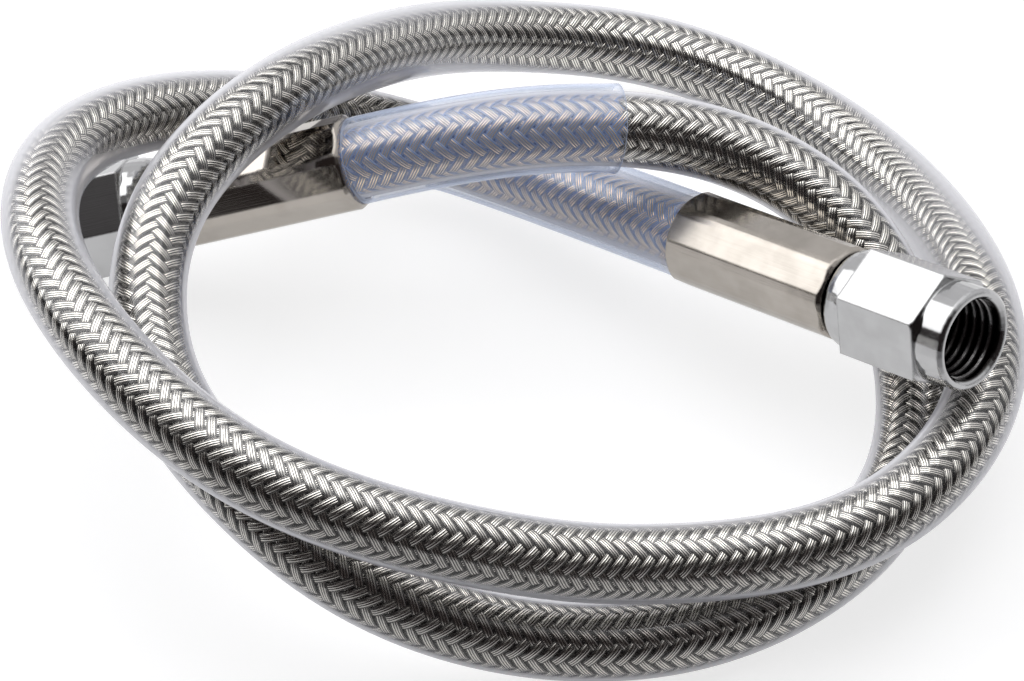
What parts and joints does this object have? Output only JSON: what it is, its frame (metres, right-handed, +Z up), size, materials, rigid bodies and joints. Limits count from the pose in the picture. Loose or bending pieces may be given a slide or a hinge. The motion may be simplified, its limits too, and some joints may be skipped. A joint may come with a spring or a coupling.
{
  "type": "brake line",
  "caption": "Flexible braided brake line with a clear jacket, laid in loose turns, with a crimped stainless fitting and a female hexagon swivel nut at each end.",
  "frame": {"origin": "centre of the object's footprint, on the surface that it lies on", "axes": "+Z up; +Y from the front of the coil, where its runs are stacked, to its back; +X towards the raised nut"},
  "size_m": [0.1058, 0.0934, 0.0332],
  "materials": {
    "liner": "smooth PTFE",
    "braid": "bright woven stainless wire",
    "jacket": "clear, glossy",
    "sleeve": "clear with a blue tint",
    "ferrule": "satin to polished stainless",
    "insert": "turned stainless",
    "nut": "polished and lightly brushed stainless"
  },
  "bodies": {
    "hose_line": {"ptfe_liner": "liner", "steel_braid": "braid", "clear_jacket": "jacket", "support_sleeve_a": "sleeve", "support_sleeve_b": "sleeve", "crimp_ferrule_a": "ferrule", "crimp_ferrule_b": "ferrule", "hose_insert_a": "insert", "hose_insert_b": "insert"},
    "nut_a": {"swivel_nut_a": "nut"},
    "nut_b": {"swivel_nut_b": "nut"}
  },
  "joints": [
    {"name": "swivel_a", "type": "hinge", "parent": "hose_line", "child": "nut_a", "pos_m": [0.0465, -0.01866, 0.02316], "axis": [0.7023, -0.6618, 0.2622], "continuous": true},
    {"name": "swivel_b", "type": "hinge", "parent": "hose_line", "child": "nut_b", "pos_m": [-0.05094, 0.0154, 0.00517], "axis": [-0.9216, 0.1017, -0.3746], "continuous": true}
  ]
}
